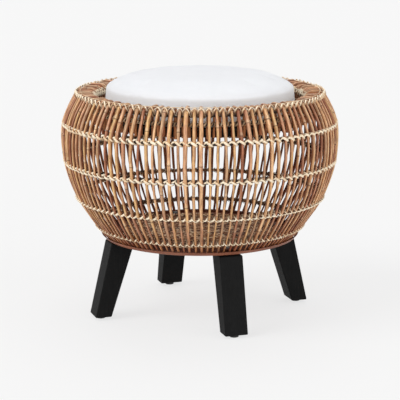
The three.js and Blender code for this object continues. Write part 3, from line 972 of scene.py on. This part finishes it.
trim_tones = [(0.3, (0.13, 0.042, 0.022)), (0.5, (0.26, 0.095, 0.055)), (0.72, (0.38, 0.165, 0.10))]
trim_inside, trim_outside, trim_slope = 0.1798, 0.1822, 0.0056
trim_foot, trim_top, trim_ease = 0.1495, 0.1558, 0.0008
trim_outline = [
    (trim_inside, trim_foot),
    (trim_outside, trim_foot),
    (trim_outside + trim_slope, trim_top),
    (trim_inside + trim_slope, trim_top),
]
trim_finish = bent_wood("trim_wood", trim_tones, 0.42)
trim = turned("base_trim_strip", eased(trim_outline, trim_ease), 160, trim_finish)
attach(trim, "basket")
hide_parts("base_trim")
# The base hoop is stained wood, painted darker than the board for the shade it sits in behind the canes:
# partly stain, partly painted shade.
stain_and_painted_shade = [(0.35, (0.07, 0.018, 0.008)), (0.6, (0.15, 0.042, 0.022))]
refinish("base_hoop", bent_wood("stained_shaded_wood", stain_and_painted_shade, 0.7))

# The basket's floor is a round board stained dark red. A mat of twisted rattan core, coiled
# and flecked dark and pale, lies on it. Four bolts beside the mat hold the board to the legs.
red_stain = [(0.35, (0.18, 0.062, 0.036)), (0.65, (0.31, 0.12, 0.072))]
refinish("base_board", bent_wood("board_wood", red_stain, 0.6))
mat_radius = 0.1505
mat_pitch = 0.0052
mat_height = 0.1561
mat_flatness = 0.36


def coil(tree, start, size):
    """A flat coil of twisted strand from the middle of the mat to its edge."""
    line = out(tree, "GeometryNodeCurvePrimitiveLine", {"End": (1.0, 0.0, 0.0)})
    even = out(tree, "GeometryNodeResampleCurve", {"Curve": line, "Count": size["Points"]})
    share = Number(tree, put(tree, "GeometryNodeSplineParameter").outputs["Factor"]).math("SQRT")
    angle = share * (size["Radius"] / size["Pitch"]) * full_turn
    radius = share * (size["Radius"] - size["Pitch"] / 2)
    rough = noise(tree, from_axis(tree, radius, angle, 0.0), 420.0, 1.0) - 0.5
    place = from_axis(tree, radius + rough * 0.0026, angle, rough * 0.0016 + size["Height"])
    wound = out(tree, "GeometryNodeSetPosition", {"Geometry": even, "Position": place})
    upwards = {"Curve": wound, "Normal": (0.0, 0.0, 1.0)}
    level = out(tree, "GeometryNodeSetCurveNormal", upwards, mode="FREE")
    known = store(tree, level, "along", angle * radius)
    thickness = size["Pitch"] * (rough * 0.3 + 1.05)
    return sweep(tree, known, size["Sides"], thickness, mat_flatness)


# The flecks are partly the core's own mixed tone and partly painted highlight on the twists, with painted
# shade between them.
mat_tones = [
    (0.4, (0.045, 0.012, 0.004)),
    (0.46, (0.30, 0.10, 0.04)),
    (0.54, (0.62, 0.30, 0.135)),
    (0.6, (1.0, 0.76, 0.5)),
]


def mat_finish():
    material, tree, shader = finish_named("woven_rattan", 0.7)
    place = on_piece(tree)
    flecks = noise(tree, place, 150.0, 2.0, 0.7)
    patches = noise(tree, place, 50.0, 1.0)
    fill(tree, shader.inputs["Base Color"], ramp(tree, flecks + (patches - 0.5) * 0.3, mat_tones))
    bump(tree, shader, flecks, 0.0008)
    return material


mat = grow(
    guide("floor_mat_coil", [(0.01, mat_height), (0.02, mat_height)]),
    "floor_mat_coil",
    coil,
    {"Points": 3300, "Sides": 6, "Radius": mat_radius, "Pitch": mat_pitch, "Height": mat_height},
    mat_finish(),
)
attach(mat, "basket")
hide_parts("floor_mat")
steel_tones = [(0.3, (0.13, 0.125, 0.12)), (0.7, (0.22, 0.21, 0.2))]
steel, tree, shader = finish_named("zinced_steel", 0.55)
shader.inputs["Metallic"].default_value = 1.0
scratches = noise(tree, on_piece(tree), 900.0, 2.0)
fill(tree, shader.inputs["Base Color"], ramp(tree, scratches, steel_tones))
corner_names = ["back_right", "back_left", "front_left", "front_right"]
for name in corner_names:
    refinish("bolt_" + name, steel)


# The seat board is a disc of plywood painted black, with its edges eased. It lies low in the
# well, inside the canes, and carries the cushion.
def black_paint(name, level, lengthways):
    """Black paint on open-grained wood, with its fine grain along the piece."""
    material, tree, shader = finish_named(name, 0.6, 0.08)
    place = on_piece(tree)
    stretched = out(tree, "ShaderNodeMapping", {"Vector": place, "Scale": lengthways})
    grain = noise(tree, stretched, 1.0, 4.0, 0.65)
    pores = between(tree, grain, 0.52, 0.62)
    worn = noise(tree, place, 45.0, 2.0)
    shades = [(0.3, (level * 0.55,) * 3), (0.55, (level,) * 3), (0.8, (level * 1.7,) * 3)]
    fill(tree, shader.inputs["Base Color"], ramp(tree, grain * 0.75 + worn * 0.25, shades))
    bump(tree, shader, grain - pores * 0.3, 0.0005, 0.8)
    return material


def disc(radius, low, high, ease):
    """The outline of a disc between two heights, its corners eased."""
    return eased([(0, low), (radius, low), (radius, high), (0, high)], ease)


board_low, board_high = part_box("seat_board")
board_radius = 0.1957
board_finish = black_paint("black_board", 0.012, (40.0, 700.0, 700.0))
board_outline = disc(board_radius, board_low.z, board_high.z, 0.0015)
seat_board = turned("seat_board_disc", board_outline, 128, board_finish)
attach(seat_board, "basket")
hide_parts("seat_board")

# Four legs of sawn hardwood, tapered and splayed, with their arrises eased, painted black.
# A plastic glide is pressed into the foot of each.
leg_finish = black_paint("black_leg", 0.0085, (650.0, 650.0, 16.0))
leg_half_width = 0.022
leg_ease = 0.002
leg_foot, leg_top = 0.0053, 0.1465
leg_outline = [(0.182, leg_foot), (0.213, leg_foot), (0.181, leg_top), (0.136, leg_top)]
leg_faces = [(0, 1, 2, 3), (7, 6, 5, 4), *[(n, n + 4, (n + 1) % 4 + 4, (n + 1) % 4) for n in range(4)]]
glide_tones = [(0.3, (0.006,) * 3), (0.7, (0.014,) * 3)]
glide_finish, tree, shader = finish_named("black_glide", 0.55)
moulding = noise(tree, on_piece(tree), 1400.0, 2.0)
fill(tree, shader.inputs["Base Color"], ramp(tree, moulding, glide_tones))
bump(tree, shader, moulding, 0.0002)
glide_radius, glide_height, glide_place = 0.0085, 0.005, 0.1975
for number, name in enumerate(corner_names):
    turn = pi / 4 + number * pi / 2
    outwards, across = Vector((cos(turn), sin(turn), 0)), Vector((-sin(turn), cos(turn), 0))
    points = [
        outwards * r + across * side * leg_half_width + Vector((0, 0, z))
        for side in (-1, 1)
        for r, z in leg_outline
    ]
    leg = mesh_piece(f"leg_{name}_wood", points, leg_faces, leg_finish)
    tidy(leg.data, smooth=False)
    ease = leg.modifiers.new("eased_arrises", "BEVEL")
    ease.width = leg_ease
    ease.segments = 3
    ease.harden_normals = True
    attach(leg, "basket")
    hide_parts("leg_" + name)
    glide_outline = disc(glide_radius, 0, glide_height, 0.0012)
    glide = turned(f"glide_{name}_foot", glide_outline, 32, glide_finish)
    for vertex in glide.data.vertices:
        vertex.co += outwards * glide_place
    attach(glide, "basket")
    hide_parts("glide_" + name)

# The cushion is a foam pad in a white cotton cover: a domed top panel, a side band and a flat
# base, sewn round two seams. It lies loose in the well.
cushion_bottom = 0.3816
cushion_seam = 0.4314
cushion_top = 0.4617
cushion_foot_radius, cushion_top_radius = 0.1812, 0.1778
crown_fullness = 0.86
band_steps = 8
crown_steps = 24
swelling_room = 0.0018


def cushion_outline(shrink):
    """Half of the cushion's section, from the middle of its base to the top of its dome."""
    foot, top = cushion_foot_radius - shrink, cushion_top_radius - shrink
    points = [(0, cushion_bottom), (foot - 0.007, cushion_bottom), (foot - 0.002, cushion_bottom + 0.002)]
    for step in range(1, band_steps):
        share = step / band_steps
        height = cushion_bottom + (cushion_seam - cushion_bottom) * share
        points.append((foot + (top - foot) * share, height))
    rise = cushion_top - shrink - cushion_seam
    for step in range(crown_steps + 1):
        turn = pi / 2 * step / crown_steps
        radius = top * cos(turn) ** crown_fullness
        points.append((radius, cushion_seam + rise * sin(turn) ** crown_fullness))
    points[-1] = (0, points[-1][1])
    return points


def plain_mesh(piece):
    """The piece's mesh with what its modifiers do to it."""
    depsgraph = bpy.context.evaluated_depsgraph_get()
    return bpy.data.meshes.new_from_object(piece.evaluated_get(depsgraph), depsgraph=depsgraph)


def applied(piece, name, kind, **settings):
    """Puts a modifier on a piece and keeps its result."""
    modifier = piece.modifiers.new(name, kind)
    for setting, value in settings.items():
        setattr(modifier, setting, value)
    mesh = plain_mesh(piece)
    piece.modifiers.remove(modifier)
    piece.data = mesh


def sewn(co):
    """Whether a point of the cover is held: at the upper seam, or on the base and its seam."""
    at_upper_seam = abs(co.z - cushion_seam) < 0.0028 and co.xy.length > 0.165
    return at_upper_seam or co.z < 0.384


def stuffed(piece, frames=20, pressure=4.0, most=0.0025):
    """Blows the cover up like foam does, holding its seams, by a short cloth simulation."""
    start = [vertex.co.copy() for vertex in piece.data.vertices]
    seams = piece.vertex_groups.new(name="seams")
    seams.add([n for n, co in enumerate(start) if sewn(co)], 1.0, "REPLACE")
    cover = piece.modifiers.new("cover", "CLOTH")
    cover.settings.use_pressure = True
    cover.settings.uniform_pressure_force = pressure
    cover.settings.effector_weights.gravity = 0
    cover.settings.vertex_group_mass = "seams"
    cover.settings.mass = 0.3
    cover.settings.tension_stiffness = 15
    cover.settings.compression_stiffness = 15
    cover.settings.bending_stiffness = 0.3
    cover.point_cache.frame_start = 1
    cover.point_cache.frame_end = frames
    for moment in range(1, frames + 1):
        bpy.context.scene.frame_set(moment)
    mesh = plain_mesh(piece)
    for vertex, before in zip(mesh.vertices, start):
        move = vertex.co - before
        if move.length > most:
            vertex.co = before + move.normalized() * most
        vertex.co.z = max(vertex.co.z, cushion_bottom)
    piece.modifiers.remove(cover)
    piece.vertex_groups.clear()
    piece.data = mesh
    bpy.context.scene.frame_set(1)


thread_spacing = 0.0011
cotton_white = [(0.3, (0.85, 0.86, 0.89)), (0.55, (0.875, 0.885, 0.91)), (0.8, (0.895, 0.90, 0.92))]


def cotton():
    """White cotton canvas with its weave, fine slubs and a soft matt face."""
    material, tree, shader = finish_named("white_cotton", 0.85)
    place = on_piece(tree)
    x, y, z = separate(tree, place)
    thread = full_turn / thread_spacing
    warp = ((x + z * 0.3) * thread).math("SINE")
    weft = ((y + z * 0.6) * thread).math("SINE")
    weave = warp * weft
    slubs = noise(tree, vector(tree, x * 25.0, y * 420.0, z * 420.0), detail=2.0)
    soft = noise(tree, place, 14.0, 2.0)
    whiteness = slubs * 0.4 + soft * 0.5 + weave * 0.05
    fill(tree, shader.inputs["Base Color"], ramp(tree, whiteness, cotton_white))
    shader.inputs["Sheen Weight"].default_value = 0.15
    bump(tree, shader, weave * 0.5 + slubs * 0.8, 0.0003)
    return material


cotton_finish = cotton()
cover_outline = cushion_outline(swelling_room)
cushion = turned("cushion_cover", cover_outline, 128, cotton_finish)
applied(cushion, "even_cloth", "REMESH", mode="VOXEL", voxel_size=0.005, use_smooth_shade=True)
stuffed(cushion)
applied(cushion, "fine_cloth", "SUBSURF", levels=1, render_levels=1)
for polygon in cushion.data.polygons:
    polygon.use_smooth = True
if not cushion.data.materials:
    cushion.data.materials.append(cotton_finish)
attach(cushion, "cushion")
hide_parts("cushion")
